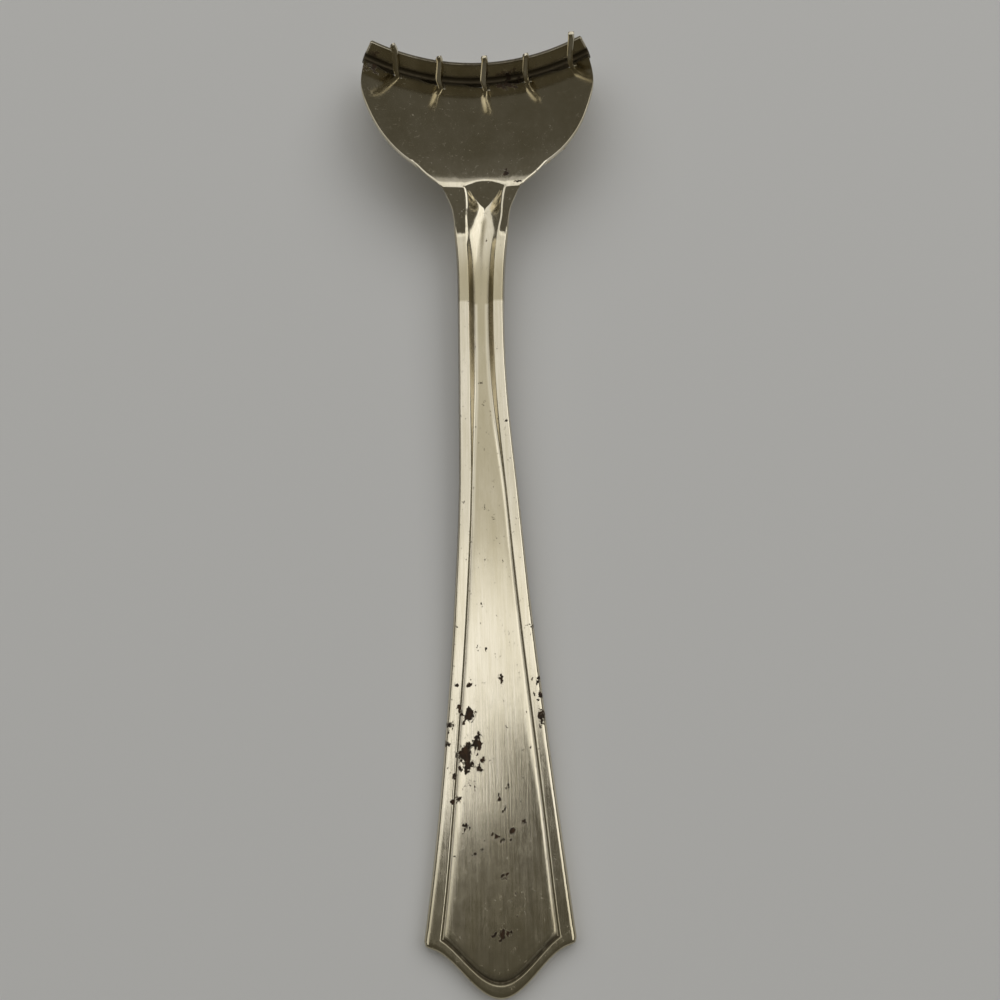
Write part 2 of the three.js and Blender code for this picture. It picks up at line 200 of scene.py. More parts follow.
# Rust: offset from the centre line, run, radius
HANDLE_RUST = [
    (-4.7, 45.4, 1.2), (-5.6, 38.5, 1.5), (-5.3, 36.5, 1.0), (-3.8, 40.5, 1.2), (-8.4, 43.6, 0.8),
    (-8.6, 40.6, 0.7), (-7.5, 35.2, 0.6), (-6.8, 31.3, 0.6), (-8.0, 30.9, 0.5), (-5.6, 26.8, 0.8),
    (7.8, 51.3, 0.7), (7.9, 48.4, 0.7), (8.1, 44.8, 1.1), (9.4, 38.0, 0.5), (10.3, 30.0, 0.5),
    (10.8, 28.7, 0.45), (-6.8, 50.6, 0.5), (-4.5, 50.5, 0.5), (1.1, 51.9, 0.6), (-2.5, 37.7, 0.5),
    (-2.7, 35.9, 0.5), (1.7, 33.3, 0.5), (0.1, 31.1, 0.5), (1.0, 29.4, 0.5), (2.2, 26.0, 0.7),
    (4.3, 27.3, 0.45), (-0.4, 25.2, 0.5), (0.6, 24.6, 0.5), (-2.9, 23.0, 0.45), (-4.2, 22.4, 0.45),
    (-7.6, 22.3, 0.45), (0.5, 18.8, 0.6), (-0.8, 9.9, 0.6), (0.4, 9.7, 0.7), (1.6, 9.9, 0.6),
    (-2.0, 65.0, 0.45), (-1.4, 57.0, 0.4), (6.1, 83.0, 0.4), (7.0, 67.0, 0.45), (7.4, 64.0, 0.45),
    (7.4, 61.0, 0.45), (4.1, 101.0, 0.4), (1.9, 42.8, 0.4), (6.0, 39.7, 0.4),
]
HEAD_RUST = [(5.2, 155.3, 0.8), (7.6, 152.6, 0.6), (-24.3, 187.5, 1.4), (6.5, 188.6, 1.6), (9.0, 188.4, 1.2)]
RUST_SEED = 11
RUST_CORE = 0.8  # share of a spot's radius that stays whole
RUST_SPREAD = 9  # small spots round a spot of 1 mm radius; their number grows with its area
RUST_REACH = 0.75  # how far they scatter, as a share of its radius
RUST_SMALL = (0.2, 0.45)  # least and largest radius of them, as a share of its radius
RUST_LEVEL = [-1.2, -0.3]  # it dies out down the turned-down walls

# Lines where one piece ends and the next begins
HANDLE_END = HANDLE_LENGTH - NECK_BACK - 1
PLATE_START = HANDLE_LENGTH + CREST_AHEAD + 0.3
CREASE_FLAT = 0.2  # flat strip of the lip before its bend
ROOT_FLAT = 0.2  # flat strip of a tooth before its bend

# Steps of the meshes
UPPER_LINES, UPPER_BENDS = (4, 12, 4), (10, 4, 4)
UNDER_LINES, UNDER_BENDS = (2, 2, 3, 10, 3), (3, 4, 3, 4, 4)
FLOOR_COLUMNS = 61
EDGE_STEPS = 7
HANDLE_SPACING = 0.5
NECK_SPACING = 0.13
PLATE_SPACING = 0.55
LIP_SPACING = 0.28
TOOTH_SPACING = 0.22
SMOOTH_ANGLE = math.radians(35)
FIRST_ROW, CLOSE_LENGTH, CLOSE_ROWS = 0.15, 4, 13  # rows behind the tip's groove
PLATE_ROWS, BLADE_ROWS = 80, 40
ROOT_STEPS, LEAF_STEPS, NOTCH_STEPS, CORNER_STEPS = 12, 20, 24, 8
ROW_SHARE = 0.87  # rows of filling points, as a share of their spacing
OUTLINE_CLEAR = 0.6  # how far they stay off the outline, as a share of their spacing
MERGE_LIMIT = 1e-7
BULGE_POWER = 2.2  # fullness of the rounded edges
CORNER_ROOM = 0.45  # most of a side that a rounded corner may take
LOW_ROOM = 0.4  # most of the wall that the rim's rounding may take
CORNER_CLEAR = 0.1  # how far the plate's side edges stop short of its corners

SLIM_BORDER = WALL_SPLAY + SHEET + SLIM_RAIL
WALL_ACROSS = SHEET * math.hypot(WALL_DROP, WALL_SPLAY) / WALL_DROP
WAIST_WIDTH = CHANNEL_WIDTH + 2 * (SLIM_BORDER + CHANNEL_BEVEL)
SHOULDER_RUN = OGEE_LENGTH + SHOULDER_FLAT
WAIST_RUN = HANDLE_LENGTH - WAIST_BACK
NECK_START = HANDLE_LENGTH - NECK_BACK
CREASE = HANDLE_LENGTH + PLATE_LENGTH
CREASE_HEIGHT = LIP_BEND + SHEET - LIP_BEND * math.cos(PLATE_SLOPE)
CREST_HEIGHT = CREASE_HEIGHT + PLATE_LENGTH * math.sin(PLATE_SLOPE)
CLIMB = HANDLE_LENGTH - FOOT_LENGTH - SWEEP / 2
HANDLE_RISE = (CREST_HEIGHT - NECK_LIFT - WALL_DROP) / CLIMB
NECK_RISE = HANDLE_RISE + NECK_LIFT / (NECK_BACK - LIFT_BEND / 2)
END_WALL_HALF = NECK_WIDTH / 2 - WALL_SPLAY - SHEET - NECK_RAIL
ORIGIN_RUN = NECK_START + SEAM / 2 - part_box("neck")[0][1] / MM  # run of the frame's origin
ALONG_PLATE = np.array([0, math.cos(PLATE_SLOPE), -math.sin(PLATE_SLOPE)])
OFF_PLATE = np.array([0, math.sin(PLATE_SLOPE), math.cos(PLATE_SLOPE)])
SIDEWAYS = np.array([1.0, 0, 0])


def lerp(start, end, share):
    return start + (end - start) * share


def smoothstep(value, low, high):
    share = np.clip((value - low) / (high - low), 0, 1)
    return share * share * (3 - 2 * share)


def unit(vectors):
    return vectors / np.linalg.norm(vectors, axis=-1, keepdims=True)


# Cubic curve through points, level at both ends
def curve_through(points):
    x, y = np.array(points, float).T
    secants = np.diff(y) / np.diff(x)
    slopes = np.concatenate([[0], (secants[1:] + secants[:-1]) / 2, [0]])

    def value(at):
        i = np.clip(np.searchsorted(x, at) - 1, 0, len(x) - 2)
        step = x[i + 1] - x[i]
        t = (at - x[i]) / step
        ahead = t * t * (3 - 2 * t)
        bend = t * (1 - t) * step * ((1 - t) * slopes[i] - t * slopes[i + 1])
        return lerp(y[i], y[i + 1], ahead) + bend

    return value


def flare(points, run, length, start, end):
    return [[run + share * length, lerp(start, end, grow) / 2] for share, grow in points]


flared_half = curve_through(
    flare(NECK_FLARE, WAIST_RUN, HANDLE_LENGTH - WAIST_RUN, WAIST_WIDTH, NECK_WIDTH)
    + flare(HEAD_FLARE, HANDLE_LENGTH, PLATE_LENGTH - WIDEST_LINE, NECK_WIDTH, HEAD_WIDTH)
    + [[CREASE, HEAD_WIDTH / 2]]
)
sway = curve_through(SWAY)


def half_width(run):
    open_share = np.clip((WAIST_RUN - run) / (WAIST_RUN - SHOULDER_RUN), 0, 1)
    tapered = lerp(WAIST_WIDTH, END_WIDTH, open_share ** TAPER_POWER) / 2
    return np.where(run < WAIST_RUN, tapered, flared_half(np.clip(run, WAIST_RUN, CREASE)))


# Extra climb after a change of slope that is spread over a bend, and its slope
def climb_after(start, bend, run):
    past = np.maximum(run - start, 0)
    turned = np.minimum(past, bend)
    return turned ** 2 / (2 * bend) + past - turned, turned / bend


# Centre line: level foot, upward sweep, straight run, steeper neck, rounded crest, straight plate
def centre(run):
    sweep_rise, sweep_slope = climb_after(FOOT_LENGTH, SWEEP, run)
    lift_rise, lift_slope = climb_after(NECK_START, LIFT_BEND, run)
    steeper = NECK_RISE - HANDLE_RISE
    z = WALL_DROP + HANDLE_RISE * sweep_rise + steeper * lift_rise
    tilt = -np.arctan(HANDLE_RISE * sweep_slope + steeper * lift_slope)
    past = run - HANDLE_LENGTH
    fall, level = math.sin(PLATE_SLOPE), math.cos(PLATE_SLOPE)
    share = np.clip((past + CREST_BACK) / (CREST_BACK + CREST_AHEAD), 0, 1)
    before, after = CREST_BACK * (1 - share) ** 2, CREST_AHEAD * share ** 2
    crest_y = HANDLE_LENGTH - before + after * level
    crest_z = CREST_HEIGHT - before * NECK_RISE - after * fall
    back, ahead = CREST_BACK * (1 - share), CREST_AHEAD * share
    crest_slope = (back * NECK_RISE - ahead * fall) / (back + ahead * level)
    on_crest = past > -CREST_BACK
    on_plate = past >= CREST_AHEAD
    y = np.where(on_plate, HANDLE_LENGTH + past * level, np.where(on_crest, crest_y, run))
    z = np.where(on_plate, CREST_HEIGHT - past * fall, np.where(on_crest, crest_z, z))
    tilt = np.where(on_plate, PLATE_SLOPE, np.where(on_crest, -np.arctan(crest_slope), tilt))
    return y, z, tilt


# Point at a run along the centre line, offset across the tool and square to the sheet
def place(run, across, level):
    y, z, tilt = centre(run)
    aside = sway(np.clip(run, SWAY[0][0], SWAY[-1][0]))
    return np.stack([across + aside, y + level * np.sin(tilt), z + level * np.cos(tilt)], axis=-1)


# Point at an angle round the hollow of the scoop, raised off the plate
def on_dish(run, angle, raised):
    radius = DISH_RADIUS - raised
    return place(run, radius * np.sin(angle), DISH_RADIUS - radius * np.cos(angle))


def dish_rise(run, across):
    share = smoothstep(run, HANDLE_LENGTH - DISH_BACK, HANDLE_LENGTH)
    return share * (DISH_RADIUS - np.sqrt(DISH_RADIUS ** 2 - across ** 2))


# Width of the border and depth of the panel or channel inside it
def rail_border(rail):
    return WALL_SPLAY + SHEET + rail


def side_rail(run):
    slim = lerp(END_RAIL, SLIM_RAIL, smoothstep(run, SHOULDER_RUN, SLIM_RUN))
    return lerp(slim, NECK_RAIL, smoothstep(run, HANDLE_LENGTH - RAIL_BACK, HANDLE_LENGTH))


def channel_depth(run):
    sunk = smoothstep(run, CHANNEL_START, HANDLE_LENGTH - CHANNEL_BACK)
    lift = (NECK_RISE - HANDLE_RISE) * climb_after(NECK_START, LIFT_BEND, run)[0]
    return lerp(PANEL_DEPTH, CHANNEL_DEPTH, sunk) + TROUGH_LIFT * lift


# Corners of the border from the rim to the panel floor: inset from the outline, level above the rails
def fold_corners(run, rail):
    border = rail_border(rail)
    bevel = lerp(PANEL_BEVEL, CHANNEL_BEVEL, smoothstep(run, BEVEL_START, BEVEL_FULL))
    drop = lerp(WALL_DROP, EDGE_DROP, smoothstep(run, HANDLE_LENGTH - WALL_FADE, HANDLE_LENGTH))
    return np.array([[0, -drop], [WALL_SPLAY, 0], [border, 0], [border + bevel, -channel_depth(run)]])


# The same corners one sheet thickness below, mitred at the folds, with the inside of the rim first
def under_corners(corners):
    path = np.vstack([corners, corners[-1] + [SHEET, 0]])
    edges = unit(np.diff(path, axis=0))
    normals = np.stack([edges[:, 1], -edges[:, 0]], axis=-1)
    sums = normals[:-1] + normals[1:]
    scale = SHEET / (1 + np.sum(normals[:-1] * normals[1:], axis=1))
    walled = -corners[0, 1] / WALL_DROP
    rim = [lerp(UNDERCUT, WALL_ACROSS, walled), corners[0, 1] - (SHEET - EDGE_DROP) * (1 - walled)]
    return np.vstack([rim, corners[1:] + sums * scale[:, None]])


# Points along a path with its inner corners rounded off; their number doesn't depend on the sizes
def rounded_path(corners, cuts, line_steps, bend_steps):
    points = []
    start = corners[0]
    for i, (cut, lines, bends) in enumerate(zip(cuts, line_steps, bend_steps)):
        before, corner, after = corners[i:i + 3]
        room = CORNER_ROOM * min(np.linalg.norm(corner - before), np.linalg.norm(after - corner))
        into = corner + unit(before - corner) * min(cut, room)
        out = corner + unit(after - corner) * min(cut, room)
        points += [lerp(start, into, k / lines) for k in range(lines)]
        turns = [k / bends for k in range(bends)]
        points += [lerp(lerp(into, corner, t), lerp(corner, out, t), t) for t in turns]
        start = out
    return np.array(points + [start])


# Rounded border of the sheet's upper and under face, both from the same line low on the wall
def border_paths(run, rail):
    corners = fold_corners(run, rail)
    under = under_corners(corners)
    wall = corners[1] - corners[0]
    low = corners[0] + wall * min(RIM_ROUND / np.linalg.norm(wall), LOW_ROOM)
    shoulder = lerp(END_SHOULDER_ROUND, SHOULDER_ROUND, smoothstep(run, SLIM_RUN, 2 * SLIM_RUN))
    groove = lerp(GROOVE_ROUND, CHANNEL_ROUND, smoothstep(run, BEVEL_START, BEVEL_FULL))
    upper_path = rounded_path(
        np.vstack([low, corners[1:], corners[-1] + [2 * SHEET, 0]]),
        (shoulder, FOLD_ROUND, groove), UPPER_LINES, UPPER_BENDS)
    under_path = rounded_path(
        np.vstack([low, corners[0], under, under[-1] + [2 * SHEET, 0]]),
        (RIM_ROUND, UNDER_ROUND, UNDER_ROUND, UNDER_ROUND, groove), UNDER_LINES, UNDER_BENDS)
    return upper_path, under_path


def side_paths(run):
    return border_paths(run, side_rail(run))


# How far a point has come up the panel's rolled edge, by its distance from a groove
def rolled(distance):
    return 1 - (1 - np.clip(distance / PILLOW_WIDTH, 0, 1)) ** 2


def channel_tarnish(run):
    return smoothstep(run, *CHANNEL_TARNISH_START) * (1 - smoothstep(run, *CHANNEL_TARNISH_END))


# Columns across the handle: border, panel floor, border
def columns(path, half):
    inset = np.maximum.accumulate(path[:, 0])
    edge = half - inset[-1]
    shares = -np.cos(np.pi * np.arange(1, FLOOR_COLUMNS + 1) / (FLOOR_COLUMNS + 1))
    floor = edge * shares
    across = np.concatenate([inset - half, floor, (half - inset)[::-1]])
    level = np.concatenate([path[:, 1], np.full(FLOOR_COLUMNS, path[-1, 1]), path[::-1, 1]])
    return inset, across, level, edge - np.abs(across)


def ogee(across):
    share = np.minimum(np.abs(across) / (END_WIDTH / 2 - OGEE_CORNER), 1)
    return OGEE_LENGTH * (1 - np.cos(np.pi * share)) / 2


# Square corner in plan turned into a quarter circle; both distances are measured from the outline
def round_corner(side, end):
    p = np.clip(1 - side / END_CORNER, 0, 1)
    q = np.clip(1 - end / END_CORNER, 0, 1)
    rounded_side = side + END_CORNER * p * (1 - np.sqrt(1 - q * q / 2))
    rounded_end = end + END_CORNER * q * (1 - np.sqrt(1 - p * p / 2))
    return rounded_side, rounded_end


# Wear and painted shade of the upper face: grime with painted shade, tarnish and rust at each point
def wear_and_shade(grime_and_shade, tarnish, rust):
    return np.stack(np.broadcast_arrays(grime_and_shade, tarnish, rust), axis=-1)


def near(distance, width):
    return np.exp(-(distance / width) ** 2)


# Each larger spot broken up into a cluster of smaller ones
def clusters(places):
    chance = np.random.default_rng(RUST_SEED)
    broken = []
    for x, y, size in places:
        broken.append((x, y, RUST_CORE * size))
        for _ in range(int(RUST_SPREAD * size ** 2)):
            aside, ahead = chance.normal(0, RUST_REACH * size, 2)
            broken.append((x + aside, y + ahead, size * chance.uniform(*RUST_SMALL)))
    return broken


def spots(places, across, run):
    return np.max([near(np.hypot(across - x, run - y), size) for x, y, size in places], axis=0)


def soft_max(a, b, ease):
    return (a + b + np.sqrt((a - b) ** 2 + ease ** 2)) / 2


# Painted shade on the channel's steep sides, and painted shadow on the turned-down wall at the left
def side_wall_shade(run, half, across, level, clear):
    # painted shade on the channel's sides
    strength = np.where(across < 0, *CHANNEL_SIDE_SHADE) * smoothstep(run, *CHANNEL_SIDE_START)
    on_side = (clear < 0) & (np.abs(across) < half - SHEET)
    grime_and_shade = np.where(on_side, strength * smoothstep(-level, *CHANNEL_SIDE_LEVELS), 0)
    # painted shadow on the left turned-down wall
    on_wall = across < WALL_SPLAY - half
    return np.where(on_wall, LEFT_WALL_SHADOW * smoothstep(run, *LEFT_WALL_START), grime_and_shade)


# Wear along the middle of the channel where it leads up to the end wall
def trough_wear(run, across):
    share = smoothstep(run, *NECK_WEAR_START) * (1 - smoothstep(run, *NECK_WEAR_END))
    share = share * near(across - trough_middle(run), NECK_WEAR_WIDTH)
    floor = CHANNEL_TARNISH * channel_tarnish(run) * (trough_share(run) > 0)
    return NECK_GRIME * share, np.maximum(NECK_TARNISH * share, floor)


def trough_share(run):
    return smoothstep(run, HANDLE_LENGTH - TROUGH_BACK, HANDLE_LENGTH - TROUGH_FULL)


handle_rust = clusters(HANDLE_RUST)
head_rust = clusters(HEAD_RUST)


# Handle: the border runs round the pointed end as well as along both sides
def handle_grid(face):
    tip_paths = border_paths(SHOULDER_RUN, TIP_RAIL)
    tip = tip_paths[face]
    tip_inset = np.maximum.accumulate(tip[:, 0])
    inner = tip_paths[0][-1, 0]
    start = inner + FIRST_ROW
    end = start + CLOSE_LENGTH
    close = np.linspace(start, end, CLOSE_ROWS)
    far = np.linspace(end, HANDLE_END, int((HANDLE_END - end) / HANDLE_SPACING))
    rows, worn_and_shaded = [], []
    for i, run in enumerate(np.concatenate([tip_inset, close, far[1:]])):
        fade = 1 - np.clip((run - inner) / (OGEE_FADE - inner), 0, 1)
        side = run + OGEE_LENGTH * fade
        half = float(half_width(side))
        inset, across, level, clear = columns(side_paths(side)[face], half)
        count = len(across)
        rank = np.minimum(np.arange(count), np.arange(count)[::-1])
        along = np.full(count, run)
        # painted shade along the grooves beside the panel
        grime_and_shade = GROOVE_SHADE * near(clear, GROOVE_SHADE_WIDTH)
        grime_and_shade = grime_and_shade * lerp(1, SLIM_GROOVE_SHADE, smoothstep(run, *SLIM_GROOVE_SHADE_START))
        grime_and_shade = np.maximum(grime_and_shade, side_wall_shade(run, half, across, level, clear))
        tarnish = CHANNEL_TARNISH * smoothstep(clear, 0, PILLOW_WIDTH / 2) * channel_tarnish(run)
        if i < len(tip):
            level = tip[np.minimum(i, rank), 1]
            in_border = rank < len(inset)
            from_side = inset[np.minimum(rank, len(inset) - 1)]
            rounded_side, rounded_end = round_corner(from_side, np.full(count, run))
            across = np.where(in_border, np.sign(across) * (half - rounded_side), across)
            along = np.where(in_border, rounded_end, along)
            # painted shade of the step at the pointed end
            grime_and_shade = np.where(rank > i, TIP_STEP_SHADE * near(inner - run, TIP_STEP_SHADE_WIDTH), grime_and_shade)
            tarnish = np.where(rank > i, TIP_TARNISH, tarnish)
        else:
            from_tip = (run - inner) * (1 - ogee(across) / (OGEE_FADE - inner))
            swell = PILLOW * (1 - smoothstep(side, *PILLOW_FADE))
            level = level + swell * rolled(np.maximum(clear, 0)) * rolled(from_tip)
            # painted shade beside the groove at the pointed end
            tip_shade = np.where(clear > 0, TIP_STEP_SHADE * near(from_tip, TIP_STEP_SHADE_WIDTH), 0)
            grime_and_shade = np.maximum(grime_and_shade, tip_shade)
        at = along + ogee(across) * fade
        opened = trough_share(run)
        if opened > 0:
            level = lerp(level, rail_level(run, across, level, face) - trough_drop(run, across), opened)
            grime_and_shade = grime_and_shade * (1 - opened)
        middle_grime, middle_tarnish = trough_wear(run, across)
        grime_and_shade, tarnish = np.maximum(grime_and_shade, middle_grime), np.maximum(tarnish, middle_tarnish)
        tarnish = np.maximum(tarnish, END_TARNISH * (1 - smoothstep(at, *END_TARNISH_FADE)))
        rows.append(place(at, across, level))
        rust = spots(handle_rust, across, at) * smoothstep(level, *RUST_LEVEL)
        worn_and_shaded.append(wear_and_shade(grime_and_shade, tarnish, rust))
    return np.array(rows), np.array(worn_and_shaded)


def trough_middle(run):
    return TROUGH_ASIDE * smoothstep(run, *TROUGH_SWING)


# How far the channel lies below the rails' surface where it has become a hollow trough
def trough_drop(run, across):
    fold = float(half_width(run)) - rail_border(side_rail(run))
    inside = soft_max(fold - np.abs(across - trough_middle(run)), 0, TROUGH_EASE)
    straight = np.minimum(inside / fold, 1)
    return channel_depth(min(run, HANDLE_LENGTH)) * lerp(straight, 1 - (1 - straight) ** 2, TROUGH_ROUND)


# Height of the sloped wall with an arched top that stops the trough
def end_wall(y, across):
    runs = np.linspace(NECK_START, PLATE_START, 200)
    line_y, line_z, tilt = centre(runs)
    share = np.minimum(np.abs(across - TROUGH_ASIDE) / END_WALL_HALF, 1)
    top = HANDLE_LENGTH + END_WALL_TOP - END_WALL_ARC * share ** 2
    return np.interp(top, line_y, line_z) + dish_rise(top, across) - END_WALL_SLOPE * (top - y)


# Rails' surface without the channel's folds
def rail_level(run, across, level, face):
    fold = float(half_width(run)) - rail_border(side_rail(run))
    return np.where(np.abs(across) < fold + UNDER_ROUND * (1 + face), -SHEET * face, level)


# Neck: the handle section opens out and flattens into the hollow plate
def neck_grid(face):
    runs = np.linspace(HANDLE_END, PLATE_START, int((PLATE_START - HANDLE_END) / NECK_SPACING))
    rows, worn_and_shaded = [], []
    for run in runs:
        inset, across, level, clear = columns(side_paths(run)[face], float(half_width(run)))
        rise = dish_rise(run, across)
        along = np.full(len(across), run)
        rails = place(along, across, rise)
        drop = trough_drop(run, across)
        above_wall = soft_max(rails[:, 2] - end_wall(rails[:, 1], across), 0, END_WALL_EASE)
        drop = -soft_max(-drop, -above_wall, END_WALL_EASE * np.minimum(drop, 1))
        flat = rail_level(run, across, level, face)
        trough = place(along, across, flat + rise) - np.stack([0 * drop, 0 * drop, drop], axis=-1)
        opened = trough_share(run)
        rows.append(lerp(place(along, across, level + rise), trough, opened))
        grime_and_shade, tarnish = trough_wear(run, across)
        # painted shade along the grooves, dying out where the trough opens
        grime_and_shade = np.maximum(grime_and_shade, GROOVE_SHADE * near(clear, GROOVE_SHADE_WIDTH) * (1 - opened))
        worn_and_shaded.append(wear_and_shade(grime_and_shade, tarnish, spots(head_rust, across, run)))
    return np.array(rows), np.array(worn_and_shaded)


# Closed mesh between an upper and an under grid of points that share their rim
def grid_mesh(name, make_grid, open_end):
    (upper, upper_wear_and_shade), (under, under_wear_and_shade) = make_grid(0), make_grid(1)
    rows, cols = upper.shape[:2]
    top = np.arange(rows * cols).reshape(rows, cols)
    low = top + rows * cols
    low[:, 0], low[:, -1] = top[:, 0], top[:, -1]
    if not open_end:
        low[0] = top[0]
    faces = []
    for i in range(rows - 1):
        for j in range(cols - 1):
            faces.append((top[i, j], top[i, j + 1], top[i + 1, j + 1], top[i + 1, j]))
            faces.append((low[i, j], low[i + 1, j], low[i + 1, j + 1], low[i, j + 1]))
    faces.append([*top[-1], *low[-1, -2:0:-1]])
    if open_end:
        faces.append([*top[0, ::-1], *low[0, 1:-1]])
    points = np.concatenate([upper.reshape(-1, 3), under.reshape(-1, 3)])
    worn_and_shaded = np.concatenate([upper_wear_and_shade.reshape(-1, 3), 0 * under_wear_and_shade.reshape(-1, 3)])
    used = np.unique(np.concatenate([np.ravel(face) for face in faces]))
    renumber = np.zeros(len(points), int)
    renumber[used] = np.arange(len(used))
    return add_piece(name, points[used], [renumber[list(face)].tolist() for face in faces], worn_and_shaded[used])


# Points inside a closed outline on a staggered grid, clear of the outline itself
def fill_points(loop, spacing):
    low, high = loop.min(axis=0), loop.max(axis=0)
    points = []
    for i, v in enumerate(np.arange(low[1], high[1], spacing * ROW_SHARE)):
        u = np.arange(low[0] + (i % 2) * spacing / 2, high[0], spacing)
        points.append(np.stack([u, np.full(len(u), v)], axis=-1))
    points = np.concatenate(points)
    inside = np.zeros(len(points), bool)
    for a, b in zip(loop, np.roll(loop, -1, axis=0)):
        crosses = (a[1] > points[:, 1]) != (b[1] > points[:, 1])
        rise = b[1] - a[1] if b[1] != a[1] else 1.0
        inside ^= crosses & (points[:, 0] < a[0] + (points[:, 1] - a[1]) * (b[0] - a[0]) / rise)
    points = points[inside]
    gaps = np.linalg.norm(points[:, None] - loop[None], axis=-1).min(axis=1)
    return points[gaps > OUTLINE_CLEAR * spacing]


# Closed mesh of bent sheet: a flat outline, run anticlockwise, laid on a surface.
# Each outline point has its place, its outward direction and how far its rounded edge stands out.
def sheet_mesh(name, outline, surface, spacing, wear_and_shade_at, thickness, undercut):
    loop = np.array([entry[:2] for entry in outline], float)
    outward = np.array([entry[2:4] for entry in outline], float)
    proud = np.array([entry[4] for entry in outline], float)
    count = len(loop)
    flat = np.concatenate([loop, fill_points(loop, spacing)])
    found = delaunay_2d_cdt([Vector(p) for p in flat], [], [list(range(count))], 1, MERGE_LIMIT)
    flat = np.array([list(p) for p in found[0]])
    number = {}
    for i, origins in enumerate(found[3]):
        for origin in origins:
            number.setdefault(origin, i)
    rim = np.array([number[i] for i in range(count)])

    upper, normal = surface(flat[:, 0], flat[:, 1])
    under = upper - normal * thickness(flat[:, 0])[:, None]
    nudge = 0.01
    ahead_u = unit(surface(loop[:, 0] + nudge, loop[:, 1])[0] - surface(loop[:, 0], loop[:, 1])[0])
    ahead_v = unit(surface(loop[:, 0], loop[:, 1] + nudge)[0] - surface(loop[:, 0], loop[:, 1])[0])
    out = outward[:, :1] * ahead_u + outward[:, 1:] * ahead_v

    shares = (1 - np.cos(np.pi * np.arange(1, EDGE_STEPS) / EDGE_STEPS)) / 2
    bulges = (1 - np.abs(2 * shares - 1) ** BULGE_POWER) ** (1 / BULGE_POWER)
    under[rim] -= out * np.where(proud > 0, undercut, 0)[:, None]
    rings = [rim]
    points = [upper, under]
    upper_wear_and_shade = wear_and_shade_at(flat[:, 0], flat[:, 1])
    worn_and_shaded = [upper_wear_and_shade, 0 * upper_wear_and_shade]
    total = 2 * len(flat)
    for share, bulge in zip(shares, bulges):
        points.append(lerp(upper[rim], under[rim], share) + out * (proud * bulge)[:, None])
        rings.append(np.arange(total, total + count))
        worn_and_shaded.append(upper_wear_and_shade[rim])
        total += count
    rings.append(rim + len(flat))

    faces = [list(face) for face in found[2]]
    faces += [[i + len(flat) for i in reversed(face)] for face in found[2]]
    for ring, below in zip(rings, rings[1:]):
        for i in range(count):
            j = (i + 1) % count
            faces.append([ring[i], below[i], below[j], ring[j]])
    faces = [[int(i) for i in face] for face in faces]
    return add_piece(name, np.concatenate(points), faces, np.concatenate(worn_and_shaded))


def add_piece(name, points, faces, worn_and_shaded):
    mesh = bpy.data.meshes.new(name)
    mesh.from_pydata(((points - [0, ORIGIN_RUN, 0]) * MM).tolist(), [], faces)
    mesh.update()
    mesh.shade_smooth()
    mesh.set_sharp_from_angle(angle=SMOOTH_ANGLE)
    for kind, values in zip(("grime_and_shade", "tarnish", "rust"), worn_and_shaded.T):
        mesh.attributes.new(kind, "FLOAT", "POINT").data.foreach_set("value", values.copy())
    piece = bpy.data.objects.new(name + "_steel", mesh)
    bpy.context.scene.collection.objects.link(piece)
    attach(piece, "root")
    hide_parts(name)
    return piece


# Scoop plate: flat place is the distance round the dish and the run
def on_plate(around, run):
    angle = around / DISH_RADIUS
    off = np.cos(angle)[:, None] * OFF_PLATE - np.sin(angle)[:, None] * SIDEWAYS
    return on_dish(run, angle, 0), off


def reach(run):
    return DISH_RADIUS * np.arcsin(half_width(run) / DISH_RADIUS)


tooth_reach = float(reach(CREASE))
tooth_places = [
    lerp(LEFT_INSET - tooth_reach, tooth_reach - RIGHT_INSET, i / (len(TOOTH_ROOTS) - 1)) + shift
    for i, shift in enumerate(TOOTH_SHIFTS)
]
HINGE = TOOTH_BEND + ROOT_FLAT


def along_line(start, end, spacing):
    steps = max(int(math.dist(start, end) / spacing), 1)
    return [lerp(np.array(start), np.array(end), k / steps) for k in range(steps)]


def along_curve(start, pull, end, steps):
    start, pull, end = (np.array(point) for point in (start, pull, end))
    shares = [k / steps for k in range(steps)]
    return [lerp(lerp(start, pull, t), lerp(pull, end, t), t) for t in shares]


# Outline entries of a stretch of edge: every point gets the same outward direction and rounding
def edge(points, outward=(0, 0), proud=0.0):
    return [(point[0], point[1], outward[0], outward[1], proud) for point in points]


# Edge along the crease from right to left, with each slot's half leaf let into the plate
def crease_edge(right, left, spacing):
    points = []
    start = right
    for place_round, root in reversed(list(zip(tooth_places, TOOTH_ROOTS))):
        hinge, far = place_round + HINGE, place_round - SLOT_LENGTH
        deep, edge_run = CREASE - root - 2 * TOOTH_GAP, CREASE - SLOT_DEPTH
        beside = place_round - BLADE_SHEET
        points += along_line((start, CREASE), (hinge, CREASE), spacing)
        points += along_line((hinge, CREASE), (hinge, deep), spacing / 2)
        points += along_curve((hinge, deep), (place_round, deep), (beside, edge_run), ROOT_STEPS)
        pull = (lerp(beside, far, SLOT_PULL), edge_run)
        points += along_curve((beside, edge_run), pull, (far, CREASE), LEAF_STEPS)
        start = far
    return points + along_line((start, CREASE), (left, CREASE), spacing)


